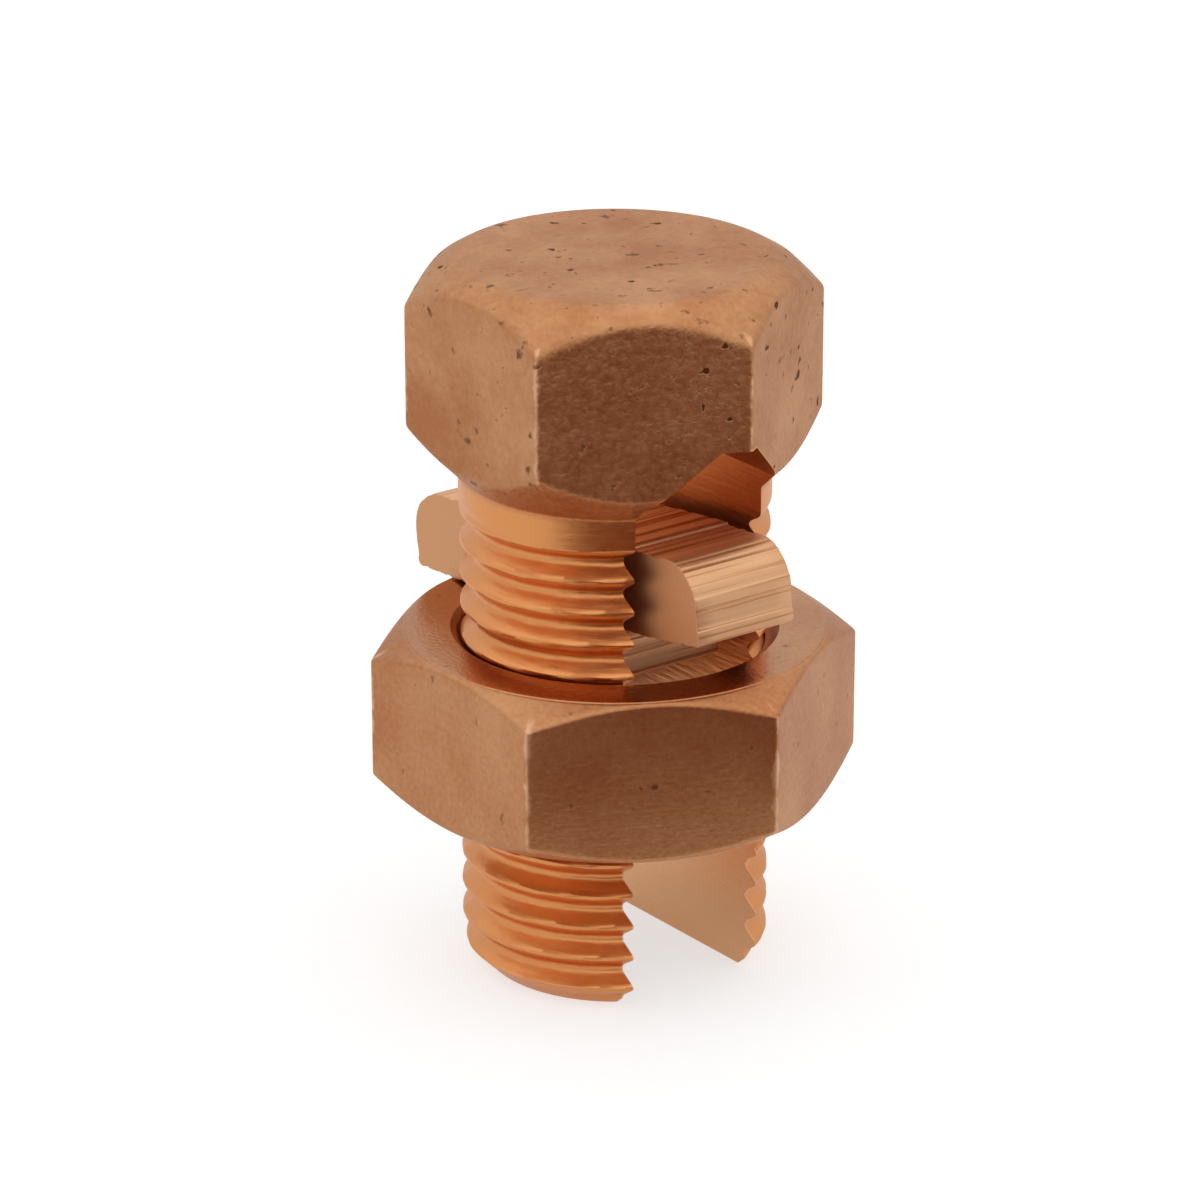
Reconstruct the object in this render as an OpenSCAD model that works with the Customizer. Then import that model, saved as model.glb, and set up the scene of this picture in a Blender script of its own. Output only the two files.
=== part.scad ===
// Split bolt connector: a hexagon-headed bolt whose threaded shank is slotted into two legs, a loose
// pressure bar lying across the slot, and a hexagon nut that drives the bar up the slot onto the wires.
// Millimetres. +Z runs along the bolt from the leg ends (z = 0) to the head, and the slot runs along Y.

/* [Thread] */
// Major diameter of the thread on the shank
thread_d = 14; // [12:0.5:16]
// Pitch of the thread
thread_pitch = 1.5; // [1:0.25:2]
// Radial gap between the nut's bore and the thread's crests
thread_clearance = 0.05; // [0.02:0.01:0.1]

/* [Split bolt] */
// Length of the shank from the leg ends to where the underside of the head flares out
shank_l = 23.5; // [20:0.5:40]
// Overall height of the bolt
bolt_h = 33.3; // [30:0.1:50]
// Width across the flats of the head
head_af = 16.25; // [15.5:0.25:18]
// Turn of the head's hexagon off the line of the slot, in degrees
head_turn = 1.9; // [0:0.1:5]
// Diameter of the flat on top of the head
head_flat_d = 14.2; // [12:0.1:15]
// Fall of the forged top from its flat to the middle of each side
head_crown = 0.6; // [0.2:0.1:1]

/* [Wire slot] */
// Width of the slot between the legs
slot_w = 6.94; // [6.5:0.01:8]
// Height at which the slot's upright walls end and its roof begins
slot_wall_h = 24.3; // [20:0.1:30]
// Height of the slot's crown, inside the head
slot_crown_h = 26.75; // [25:0.05:31]
// Width of the flat along the slot's crown
slot_crown_w = 1.7; // [0.5:0.1:4]

/* [Nut] */
// Width across the flats of the nut
nut_af = 19.25; // [18:0.25:22]
// Thickness of the nut
nut_h = 7.6; // [6:0.1:9]
// Height of the nut's top face above the leg ends
nut_top = 15.98; // [9:0.01:17]
// Turn of the nut's hexagon, in degrees
nut_turn = 2.9; // [0:0.1:59]
// Slope of the chamfer on both faces, in degrees
nut_chamfer = 32; // [20:1:40]
// Width of the countersink around the bore at both faces
nut_countersink = 0.35; // [0.1:0.05:0.6]

/* [Pressure bar] */
// Width of the bar, across the slot
bar_w = 5.26; // [4:0.01:6]
// Length of the bar from end to end
bar_l = 21.3; // [17:0.1:24]
// Thickness of the two ears that bear on the nut
bar_t = 3.9; // [3:0.1:5]
// Radius of the rounding on the upper corners of the ears
bar_end_r = 2; // [0.5:0.1:2.5]
// Upward slope of the ears' undersides, measured at their tips
bar_ear_lift = 0.2; // [0:0.05:0.5]
// Length of the raised pad that the wires bear on
bar_pad_l = 12.6; // [8:0.1:14]
// Height of the raised pad
bar_pad_h = 0.15; // [0.05:0.05:0.5]
// Length of the lug that drops between the legs into the nut's bore
bar_lug_l = 10; // [6:0.1:10.5]
// Depth of the lug below the ears
bar_lug_h = 2.35; // [1:0.05:3]
// Tilt of the bar as it lies, in degrees
bar_tilt = 6.8; // [0:0.1:8]
// Shift of the bar along the slot as it lies
bar_shift = 1; // [0:0.1:1.2]
// Gap between the bar's low ear and the nut
bar_gap = 0.03; // [0.02:0.01:0.3]

/* [Hidden] */

eps = 0.01;
thread_r = thread_d / 2;
// A 60 degree thread's depth is 0.613 of its pitch, and the end chamfer runs just past the root.
thread_depth = 0.613 * thread_pitch;
end_chamfer = 1.2 * thread_depth;

head_side_r = head_af / 2;
// The turned outline runs this far past a hexagon's sides, so that it clears the corners.
head_turned_r = 1.2 * head_side_r;
// The forged underside flares at 45 degrees, and so does the chamfer that cuts the top corners.
head_flare_h = head_turned_r - thread_r;
head_chamfer_h = head_turned_r - head_side_r;

// A flat as wide as 98 percent of the hexagon is left on each face of the nut.
nut_face_r = 0.49 * nut_af;
nut_turned_r = 0.6 * nut_af;
nut_chamfer_h = (nut_turned_r - nut_face_r) * tan(nut_chamfer);
nut_bore_r = thread_r + thread_clearance;
nut_bottom = nut_top - nut_h;

bar_half_l = bar_l / 2;
bar_corner_y = bar_half_l - bar_end_r;
bar_corner_z = bar_t - bar_end_r;
bar_pad_y = bar_pad_l / 2;
bar_lug_y = bar_lug_l / 2;
// The ears' undersides are level up to here and slope upwards beyond it.
bar_ear_foot_y = 0.66 * bar_half_l;
// The tilted bar rests on the edge of the nut's flat, or on the foot of its ear if it is nearly level.
bar_rest_y = (nut_face_r - bar_shift) / cos(bar_tilt);
bar_rest_lift = bar_ear_lift * (bar_rest_y - bar_ear_foot_y) / (bar_half_l - bar_ear_foot_y);
bar_rest_fall = max(bar_ear_foot_y * sin(bar_tilt), bar_rest_y * sin(bar_tilt) - bar_rest_lift);
bar_base_z = nut_top + bar_gap + bar_rest_fall;

// A hexagonal bar, flats facing +X and -X before its turn, long enough to pass right through.
module hex_bar(af, turn) {
    rotate(turn + 30)
        translate([0, 0, -1])
            cylinder(d = af / cos(30), h = bolt_h + 2, $fn = 6);
}

// Half section of the bolt's blank: end chamfer, shank, flared underside, side, chamfer and crown.
module bolt_section() {
    polygon([
        [0, 0],
        [thread_r - end_chamfer, 0],
        [thread_r, end_chamfer],
        [thread_r, shank_l],
        [head_turned_r, shank_l + head_flare_h],
        [head_turned_r, bolt_h - head_crown - head_chamfer_h],
        [head_side_r, bolt_h - head_crown],
        [head_flat_d / 2, bolt_h],
        [0, bolt_h]
    ]);
}

// The slot's outline seen along Y: upright walls under a roof that slopes up to a flat crown.
module slot_section() {
    polygon([
        [-slot_w / 2, -eps],
        [slot_w / 2, -eps],
        [slot_w / 2, slot_wall_h],
        [slot_crown_w / 2, slot_crown_h],
        [-slot_crown_w / 2, slot_crown_h],
        [-slot_w / 2, slot_wall_h]
    ]);
}

// Half section of the nut about the bolt's axis, with its bottom face at z = 0.
module nut_section() {
    polygon([
        [nut_bore_r, nut_countersink],
        [nut_bore_r + nut_countersink, 0],
        [nut_face_r, 0],
        [nut_turned_r, nut_chamfer_h],
        [nut_turned_r, nut_h - nut_chamfer_h],
        [nut_face_r, nut_h],
        [nut_bore_r + nut_countersink, nut_h],
        [nut_bore_r, nut_h - nut_countersink]
    ]);
}

module half_disc(r) {
    intersection() {
        circle(r = r, $fn = 64);
        translate([-r, 0])
            square([2 * r, r]);
    }
}

// The bar's outline seen along X, with the ears' undersides at zero.
module bar_section() {
    polygon([
        [-bar_half_l, bar_ear_lift],
        [-bar_ear_foot_y, 0],
        [bar_ear_foot_y, 0],
        [bar_half_l, bar_ear_lift],
        [bar_half_l, bar_corner_z],
        [bar_corner_y, bar_t],
        [-bar_corner_y, bar_t],
        [-bar_half_l, bar_corner_z]
    ]);
    for (side = [-1, 1])
        translate([side * bar_corner_y, bar_corner_z])
            half_disc(bar_end_r);
    translate([-bar_pad_y, 0])
        square([bar_pad_l, bar_t + bar_pad_h]);
    translate([-bar_lug_y, -bar_lug_h])
        square([bar_lug_l, bar_lug_h + bar_t]);
}

// The bolt is one forging: the blank's section trimmed by the head's hexagon, then slotted.
module split_bolt() {
    color("peru")
        difference() {
            intersection() {
                rotate_extrude($fn = 96)
                    bolt_section();
                hex_bar(head_af, head_turn);
            }
            translate([0, head_af, 0])
                rotate([90, 0, 0])
                    linear_extrude(2 * head_af)
                        slot_section();
        }
}

// The bar is cut from an extruded length, so its outline is the same all across the slot.
module pressure_bar() {
    color("burlywood")
        translate([0, bar_shift, bar_base_z])
            rotate([-bar_tilt, 0, 0])
                translate([-bar_w / 2, 0, 0])
                    rotate([90, 0, 90])
                        linear_extrude(bar_w)
                            bar_section();
}

module nut() {
    color("sienna")
        intersection() {
            translate([0, 0, nut_bottom])
                rotate_extrude($fn = 96)
                    nut_section();
            hex_bar(nut_af, nut_turn);
        }
}

split_bolt();
pressure_bar();
nut();
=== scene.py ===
"""Dresses the split bolt connector: a slotted bolt, its pressure bar and its nut, all in copper alloy."""

import logging
import math
from dataclasses import dataclass
from enum import Enum
from typing import Any, Callable, Sequence

import bmesh
import bpy
from mathutils import Matrix, Vector


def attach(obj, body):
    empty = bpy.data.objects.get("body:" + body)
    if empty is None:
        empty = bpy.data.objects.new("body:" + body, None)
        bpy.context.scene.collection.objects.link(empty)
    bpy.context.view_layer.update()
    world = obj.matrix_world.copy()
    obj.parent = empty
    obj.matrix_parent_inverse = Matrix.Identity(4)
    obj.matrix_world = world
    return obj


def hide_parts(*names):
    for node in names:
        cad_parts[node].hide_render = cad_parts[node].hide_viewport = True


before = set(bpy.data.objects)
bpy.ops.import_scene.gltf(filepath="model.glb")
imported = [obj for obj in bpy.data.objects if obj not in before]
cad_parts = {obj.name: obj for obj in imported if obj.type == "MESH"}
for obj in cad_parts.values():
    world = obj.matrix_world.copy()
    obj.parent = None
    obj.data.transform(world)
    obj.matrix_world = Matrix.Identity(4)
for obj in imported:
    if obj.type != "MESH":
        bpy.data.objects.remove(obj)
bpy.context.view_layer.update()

MM = 0.001
# A length that counts as none, in metres or millimetres.
TINY = 1e-6
# Points closer together than this, in metres, are one.
WELD = 1e-7
# The longest step along a turned section, in millimetres, and round a corner, in degrees.
SECTION_STEP = 0.09
ARC_STEP_DEGREES = 14
# Half of a thread's crest flat and the run of its flank, as shares of the pitch.
CREST_FLAT = 0.055
FLANK_SHARE = 0.34
# How softly the flank meets the crest and the root, as shares of the thread's depth.
FLAT_BLEND = 0.08
ROOT_BLEND = 0.32
# The spacing of a thread's burrs.
BURR_MM = 0.8
# A turned blank's radius beside the distance from its axis to a flat.
BLANK_SHARE = 1.2

log = logging.getLogger("split_bolt_connector")

Point = tuple[float, float]


class ThreadSide(Enum):
    """Which face of a part a thread is cut into."""

    SHANK = False
    BORE = True


@dataclass(frozen=True)
class Corner:
    """One corner of an outline in millimetres, and the radius that rounds it."""

    across: float
    up: float
    radius: float = 0.0


def linear(srgb: str) -> tuple[float, float, float, float]:
    """Turns a colour written as sRGB hex into linear light.

    Args:
        srgb: Six hex digits after a hash.

    Returns:
        Red, green, blue and an alpha of one.
    """
    parts = [int(srgb[i : i + 2], 16) / 255 for i in (1, 3, 5)]
    light = [c / 12.92 if c <= 0.04045 else ((c + 0.055) / 1.055) ** 2.4 for c in parts]
    return (light[0], light[1], light[2], 1.0)


def per_mm(size: float) -> float:
    """Gives the texture scale at which a pattern's features are size millimetres apart."""
    return 1 / (size * MM)


def add(tree: bpy.types.NodeTree, kind: str, inputs: dict[Any, Any] | None = None, **settings: Any) -> Any:
    """Adds a node with its settings, and joins or sets its inputs.

    Args:
        tree: The node tree that gets the node.
        kind: The node's type.
        inputs: Values or sockets to join, by the input's name or number.
        **settings: The node's own properties.

    Returns:
        The new node.
    """
    node = tree.nodes.new(kind)
    for name, value in settings.items():
        setattr(node, name, value)
    for key, value in (inputs or {}).items():
        if isinstance(value, bpy.types.NodeSocket):
            tree.links.new(value, node.inputs[key])
        else:
            node.inputs[key].default_value = value
    return node


def soft_min(a: float, b: float, softness: float) -> float:
    """Gives the smaller of two lengths, blended where they are close.

    Args:
        a: The first length.
        b: The second length.
        softness: The difference below which the two are blended.

    Returns:
        The smaller length, or a little less near the crossover.
    """
    share = max(softness - abs(a - b), 0.0) / softness
    return min(a, b) - share * share * softness / 4


def thinned(points: Sequence[Point], plain: Callable[[float, float], bool], gap: float) -> list[Point]:
    """Drops a section's points that lie close together where its shape is plain.

    Args:
        points: The section's points, as radius and height in millimetres.
        plain: Says whether the shape is plain at a radius and height.
        gap: The shortest step that is kept there, in millimetres.

    Returns:
        The points that are left.
    """
    kept: list[Point] = []
    for point in points:
        if kept and plain(*point) and math.dist(kept[-1], point) < gap and point[0] > TINY:
            continue
        kept.append(point)
    return kept


def rounded_outline(corners: Sequence[Corner], step: float, closed: bool) -> list[Point]:
    """Rounds an outline's corners and divides its straights.

    Args:
        corners: The corners in order.
        step: The longest straight piece left, in millimetres.
        closed: Whether the last corner joins the first.

    Returns:
        The outline's points in order.
    """
    count = len(corners)
    points: list[Vector] = []
    for i, corner in enumerate(corners):
        here = Vector((corner.across, corner.up))
        ends = not closed and i in (0, count - 1)
        if ends or corner.radius == 0:
            points.append(here)
            continue
        before, after = corners[i - 1], corners[(i + 1) % count]
        back = (Vector((before.across, before.up)) - here).normalized()
        on = (Vector((after.across, after.up)) - here).normalized()
        half = back.angle(on) / 2
        centre = here + (back + on).normalized() * (corner.radius / math.sin(half))
        start = here + back * (corner.radius / math.tan(half)) - centre
        sweep = start.angle_signed(here + on * (corner.radius / math.tan(half)) - centre)
        arc_steps = max(3, math.ceil(abs(sweep) / math.radians(ARC_STEP_DEGREES)))
        for k in range(arc_steps + 1):
            points.append(centre + Matrix.Rotation(-sweep * k / arc_steps, 2) @ start)
    divided: list[Point] = []
    for i in range(len(points) if closed else len(points) - 1):
        start, end = points[i], points[(i + 1) % len(points)]
        pieces = max(1, math.ceil((end - start).length / step))
        divided += [tuple(start.lerp(end, k / pieces)) for k in range(pieces)]
    if not closed:
        divided.append(tuple(points[-1]))
    return divided


@dataclass(frozen=True)
class Hexagon:
    """A hexagonal bar's cross-section: width across flats, turn in degrees, softness of its corners."""

    across_flats: float
    turn: float
    softness: float = 0.2

    def reach(self, angle: float) -> float:
        """Gives the bar's radius along one direction.

        Args:
            angle: The direction in radians, from +X towards +Y.

        Returns:
            The distance from the axis to the bar's side in millimetres.
        """
        off = (angle - math.radians(self.turn)) % math.radians(60)
        near, far = sorted((off, math.radians(60) - off))
        side = self.across_flats / 2
        return soft_min(side / math.cos(near), side / math.cos(far), self.softness)

    def columns(self) -> list[float]:
        """Gives the directions of a turned mesh's columns, closest together at the corners.

        Returns:
            The directions in radians, once round.
        """
        # Degrees from a corner towards the middle of a side.
        half = [0, 0.3, 0.6, 0.9, 1.2, 1.7, 2.6, 4] + list(range(6, 30, 2))
        sector = half + [30] + [60 - a for a in half[:0:-1]]
        start = self.turn + 30
        return [math.radians(start + 60 * k + a) for k in range(6) for a in sector]


def turned_mesh(name: str, section: Sequence[Point], bar: Hexagon, closed: bool) -> bpy.types.Object:
    """Makes a turned solid trimmed by a hexagonal bar.

    Args:
        name: The piece's name.
        section: The half section's points, as radius and height in millimetres.
        bar: The hexagonal bar that the solid is turned from.
        closed: Whether the section is a ring, as a nut's is, or runs from axis to axis.

    Returns:
        The piece, standing on the model's axis.
    """
    columns = bar.columns()
    reaches = [bar.reach(a) for a in columns]
    work = bmesh.new()
    rings = []
    for radius, height in section:
        if radius < TINY:
            rings.append([work.verts.new((0, 0, height * MM))])
            continue
        ring = []
        for angle, reach in zip(columns, reaches):
            r = soft_min(radius, reach, bar.softness) * MM
            ring.append(work.verts.new((r * math.cos(angle), r * math.sin(angle), height * MM)))
        rings.append(ring)
    pairs = list(zip(rings, rings[1:])) + ([(rings[-1], rings[0])] if closed else [])
    for lower, upper in pairs:
        for i in range(len(columns)):
            j = (i + 1) % len(columns)
            if len(lower) == 1:
                work.faces.new((lower[0], upper[j], upper[i]))
            elif len(upper) == 1:
                work.faces.new((lower[i], lower[j], upper[0]))
            else:
                work.faces.new((lower[i], lower[j], upper[j], upper[i]))
    return piece_from(work, name)


def piece_from(work: bmesh.types.BMesh, name: str) -> bpy.types.Object:
    """Turns a worked mesh into a piece in the scene, with its faces outwards.

    Args:
        work: The mesh, which is used up.
        name: The piece's name.

    Returns:
        The piece, at the model's origin.
    """
    bmesh.ops.remove_doubles(work, verts=work.verts, dist=WELD)
    bmesh.ops.recalc_face_normals(work, faces=work.faces)
    mesh = bpy.data.meshes.new(name)
    work.to_mesh(mesh)
    work.free()
    piece = bpy.data.objects.new(name, mesh)
    bpy.context.scene.collection.objects.link(piece)
    return piece


def bake_modifiers(piece: bpy.types.Object) -> None:
    """Replaces a piece's mesh with what its modifiers make of it, and removes them.

    Args:
        piece: The piece.
    """
    evaluated = piece.evaluated_get(bpy.context.evaluated_depsgraph_get())
    baked = bpy.data.meshes.new_from_object(evaluated)
    plain = piece.data
    piece.modifiers.clear()
    piece.data = baked
    baked.name = piece.name
    bpy.data.meshes.remove(plain)


def run_tree(piece: bpy.types.Object, tree: bpy.types.NodeTree, values: dict[str, Any]) -> None:
    """Runs a geometry tree on a piece and bakes the result.

    Args:
        piece: The piece that the tree works on.
        tree: The geometry tree.
        values: The tree's inputs by name.
    """
    modifier = piece.modifiers.new(tree.name, "NODES")
    modifier.node_group = tree
    for item in tree.interface.items_tree:
        if item.item_type == "SOCKET" and item.in_out == "INPUT" and item.name in values:
            modifier[item.identifier] = values[item.name]
    bake_modifiers(piece)


def smooth(piece: bpy.types.Object, sharp_degrees: float = 32) -> None:
    """Shades a piece smoothly except over edges sharper than an angle.

    Args:
        piece: The piece.
        sharp_degrees: The angle between faces past which an edge stays sharp.
    """
    piece.data.shade_smooth()
    piece.data.set_sharp_from_angle(angle=math.radians(sharp_degrees))


def new_geometry_tree(name: str, inputs: Sequence[tuple[str, str]]) -> tuple[bpy.types.NodeTree, Any]:
    """Starts a geometry tree with its named inputs.

    Args:
        name: The tree's name.
        inputs: Each input's name and socket type, after the geometry.

    Returns:
        The tree and its input node.
    """
    tree = bpy.data.node_groups.new(name, "GeometryNodeTree")
    tree.interface.new_socket("Geometry", in_out="INPUT", socket_type="NodeSocketGeometry")
    for label, kind in inputs:
        tree.interface.new_socket(label, in_out="INPUT", socket_type=kind)
    tree.interface.new_socket("Geometry", in_out="OUTPUT", socket_type="NodeSocketGeometry")
    return tree, add(tree, "NodeGroupInput")


def close_geometry_tree(tree: bpy.types.NodeTree, geometry: Any, finish: Any) -> None:
    """Ends a geometry tree in real geometry that carries its material.

    Args:
        tree: The tree.
        geometry: The socket of the finished geometry.
        finish: The socket of the material input.
    """
    real = add(tree, "GeometryNodeRealizeInstances", {"Geometry": geometry})
    dressed = add(tree, "GeometryNodeSetMaterial", {"Geometry": real.outputs[0], "Material": finish})
    add(tree, "NodeGroupOutput", {0: dressed.outputs[0]})


def thread_tree() -> bpy.types.NodeTree:
    """Builds the tree that cuts a right-hand thread into a blank along the helix.

    Returns:
        The tree. Its lengths are in metres.
    """
    tree, source = new_geometry_tree(
        "cut_thread",
        [
            ("Pitch", "NodeSocketFloat"),
            ("Crest Radius", "NodeSocketFloat"),
            ("Depth", "NodeSocketFloat"),
            ("Crest Height", "NodeSocketFloat"),
            ("Top", "NodeSocketFloat"),
            ("Run Out", "NodeSocketFloat"),
            ("Reach", "NodeSocketFloat"),
            ("Raggedness", "NodeSocketFloat"),
            ("Bore", "NodeSocketBool"),
            ("Material", "NodeSocketMaterial"),
        ],
    )
    given = source.outputs
    place = add(tree, "GeometryNodeInputPosition").outputs[0]
    apart = add(tree, "ShaderNodeSeparateXYZ", {0: place}).outputs
    # The cut fades from its full depth to nothing at the top.
    ends = {0: given["Top"], 1: given["Run Out"]}
    full = add(tree, "ShaderNodeMath", ends, operation="SUBTRACT").outputs[0]
    span = {"Value": apart[2], "From Min": given["Top"], "From Max": full}
    fade = add(tree, "ShaderNodeMapRange", span, interpolation_type="SMOOTHSTEP").outputs[0]
    burrs = {"Vector": place, "Scale": per_mm(BURR_MM), "Detail": 2.0}
    known = {"x": apart[0], "y": apart[1], "z": apart[2], "fade": fade}
    known["burrs"] = add(tree, "ShaderNodeTexNoise", burrs).outputs[0]
    known.update(given.items())
    # Each sum is the name of its result, its operation, and the names or numbers that it works on.
    sums = [
        ("xx", "MULTIPLY", "x", "x"),
        ("yy", "MULTIPLY", "y", "y"),
        ("squared", "ADD", "xx", "yy"),
        ("radius", "SQRT", "squared"),
        ("angle", "ARCTAN2", "y", "x"),
        # The turns along the helix, kept above zero, with a crest at each half.
        ("over crest", "SUBTRACT", "z", "Crest Height"),
        ("pitches", "DIVIDE", "over crest", "Pitch"),
        ("turned", "DIVIDE", "angle", 2 * math.pi),
        ("turns", "SUBTRACT", "pitches", "turned"),
        ("turns above", "ADD", "turns", 100.5),
        ("phase", "FRACT", "turns above"),
        # Zero on the crest and 0.5 at the root.
        ("from half", "SUBTRACT", "phase", 0.5),
        ("off crest", "ABSOLUTE", "from half"),
        # A straight flank runs between a narrow flat and a rounded root.
        ("off flat", "SUBTRACT", "off crest", CREST_FLAT),
        ("flank", "DIVIDE", "off flat", FLANK_SHARE),
        ("from flat", "SMOOTH_MAX", "flank", 0.0, FLAT_BLEND),
        ("cut", "SMOOTH_MIN", "from flat", 1.0, ROOT_BLEND),
        # The rolled crests are a little ragged, never prouder than their radius.
        ("burr height", "MULTIPLY", "burrs", "Raggedness"),
        ("ragged", "MULTIPLY", "burr height", "fade"),
        ("full cut", "MULTIPLY", "cut", "Depth"),
        ("cut depth", "MULTIPLY", "full cut", "fade"),
        ("whole cut", "ADD", "cut depth", "ragged"),
        ("surface", "SUBTRACT", "Crest Radius", "whole cut"),
        # A shank is cut down to the thread's surface, and a bore out to it.
        ("shank", "MINIMUM", "radius", "surface"),
        ("bore", "MAXIMUM", "radius", "surface"),
        ("off axis", "MAXIMUM", "radius", TINY),
        ("shank scale", "DIVIDE", "shank", "off axis"),
        ("bore scale", "DIVIDE", "bore", "off axis"),
        ("below top", "LESS_THAN", "z", "Top"),
        ("in reach", "LESS_THAN", "radius", "Reach"),
        ("chosen", "MULTIPLY", "below top", "in reach"),
    ]
    for result, operation, *values in sums:
        inputs = {i: known.get(value, value) for i, value in enumerate(values)}
        known[result] = add(tree, "ShaderNodeMath", inputs, operation=operation).outputs[0]
    sides = {0: given["Bore"], 1: known["shank scale"], 2: known["bore scale"]}
    scale = add(tree, "GeometryNodeSwitch", sides, input_type="FLOAT").outputs[0]
    level = add(tree, "ShaderNodeCombineXYZ", {0: scale, 1: scale, 2: 1.0}).outputs[0]
    moved = add(tree, "ShaderNodeVectorMath", {0: place, 1: level}, operation="MULTIPLY").outputs[0]
    placing = {"Geometry": given["Geometry"], "Selection": known["chosen"], "Position": moved}
    cut_place = add(tree, "GeometryNodeSetPosition", placing)
    close_geometry_tree(tree, cut_place.outputs[0], given["Material"])
    return tree


def die_line_tree() -> bpy.types.NodeTree:
    """Builds the tree that draws the extrusion die's lines along a bar.

    Returns:
        The tree. Its lengths are in metres.
    """
    tree, source = new_geometry_tree(
        "die_lines",
        [
            ("Spacing", "NodeSocketFloat"),
            ("Depth", "NodeSocketFloat"),
            ("Seed", "NodeSocketFloat"),
            ("Material", "NodeSocketMaterial"),
        ],
    )
    given = source.outputs
    place = add(tree, "GeometryNodeInputPosition").outputs[0]
    # The lines run along X, so the pattern doesn't change with X.
    flat = add(tree, "ShaderNodeVectorMath", {0: place, 1: (0, 1, 1)}, operation="MULTIPLY").outputs[0]
    scale = add(tree, "ShaderNodeMath", {0: 1.0, 1: given["Spacing"]}, operation="DIVIDE").outputs[0]
    lines = add(
        tree,
        "ShaderNodeTexNoise",
        {"Vector": flat, "W": given["Seed"], "Scale": scale, "Detail": 3.0, "Roughness": 0.65},
        noise_dimensions="4D",
    )
    groove = add(
        tree,
        "ShaderNodeMapRange",
        {"Value": lines.outputs[0], "From Min": 0.45, "From Max": 0.50, "To Min": -1.0, "To Max": 0.0},
        interpolation_type="SMOOTHSTEP",
    )
    depth = add(tree, "ShaderNodeMath", {0: groove.outputs[0], 1: given["Depth"]}, operation="MULTIPLY")
    normal = add(tree, "GeometryNodeInputNormal").outputs[0]
    # They are pressed in at right angles to the bar's run.
    along = add(tree, "ShaderNodeVectorMath", {0: normal, 1: (0, 1, 1)}, operation="MULTIPLY").outputs[0]
    along = add(tree, "ShaderNodeVectorMath", {0: along}, operation="NORMALIZE").outputs[0]
    offset = add(tree, "ShaderNodeVectorMath", {0: along, "Scale": depth.outputs[0]}, operation="SCALE")
    lined = add(tree, "GeometryNodeSetPosition", {"Geometry": given["Geometry"], "Offset": offset.outputs[0]})
    close_geometry_tree(tree, lined.outputs[0], given["Material"])
    return tree


def new_material(name: str) -> tuple[bpy.types.Material, bpy.types.NodeTree, Any, Any]:
    """Starts a metal's material.

    Args:
        name: The finish's name.

    Returns:
        The material, its tree, its shader and the socket of the piece's own coordinates.
    """
    material = bpy.data.materials.new(name)
    material.use_nodes = True
    tree = material.node_tree
    tree.nodes.clear()
    shader = add(tree, "ShaderNodeBsdfPrincipled", {"Metallic": 1.0})
    add(tree, "ShaderNodeOutputMaterial", {"Surface": shader.outputs[0]})
    return material, tree, shader, add(tree, "ShaderNodeTexCoord").outputs["Object"]


def edge_wear_and_highlight(tree: bpy.types.NodeTree, place: Any, turn: float, reach_mm: float) -> Any:
    """Finds the six upright edges of a hexagon, where handling has rubbed them bright and a highlight is
    painted along them.

    Args:
        tree: The material's tree.
        place: The socket of the piece's own coordinates.
        turn: The hexagon's turn in degrees.
        reach_mm: The distance from the axis past which an edge is rubbed and painted with a highlight.

    Returns:
        A socket that is one on the edges and zero away from them.
    """
    apart = add(tree, "ShaderNodeSeparateXYZ", {0: place}).outputs
    angle = add(tree, "ShaderNodeMath", {0: apart[1], 1: apart[0]}, operation="ARCTAN2").outputs[0]
    # In sixths of a circle and kept above zero, so that an upright edge is at each half.
    sides = {0: angle, 1: 3 / math.pi, 2: 6 - turn / 60}
    side = add(tree, "ShaderNodeMath", sides, operation="MULTIPLY_ADD").outputs[0]
    part = add(tree, "ShaderNodeMath", {0: side}, operation="FRACT").outputs[0]
    off = add(tree, "ShaderNodeMath", {0: part, 1: 0.5}, operation="SUBTRACT").outputs[0]
    near = add(tree, "ShaderNodeMath", {0: off}, operation="ABSOLUTE").outputs[0]
    # Breaks up the pale edge line, which is partly rubbed wear and partly a painted highlight.
    rubs_and_glints = add(tree, "ShaderNodeTexNoise", {"Vector": place, "Scale": per_mm(0.9), "Detail": 3.0}).outputs[0]
    width = {"Value": rubs_and_glints, "From Min": 0.35, "From Max": 0.7, "To Max": 0.03}
    reach = add(tree, "ShaderNodeMapRange", width)
    left = add(tree, "ShaderNodeMath", {0: reach.outputs[0], 1: near}, operation="SUBTRACT").outputs[0]
    rubbed_and_lit = add(tree, "ShaderNodeMapRange", {"Value": left, "From Max": 0.012}).outputs[0]
    level = add(tree, "ShaderNodeCombineXYZ", {0: apart[0], 1: apart[1]}).outputs[0]
    radius = add(tree, "ShaderNodeVectorMath", {0: level}, operation="LENGTH").outputs["Value"]
    full_mm = reach_mm + 0.4
    span = {"Value": radius, "From Min": reach_mm * MM, "From Max": full_mm * MM}
    outer = add(tree, "ShaderNodeMapRange", span).outputs[0]
    return add(tree, "ShaderNodeMath", {0: rubbed_and_lit, 1: outer}, operation="MULTIPLY").outputs[0]


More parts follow.
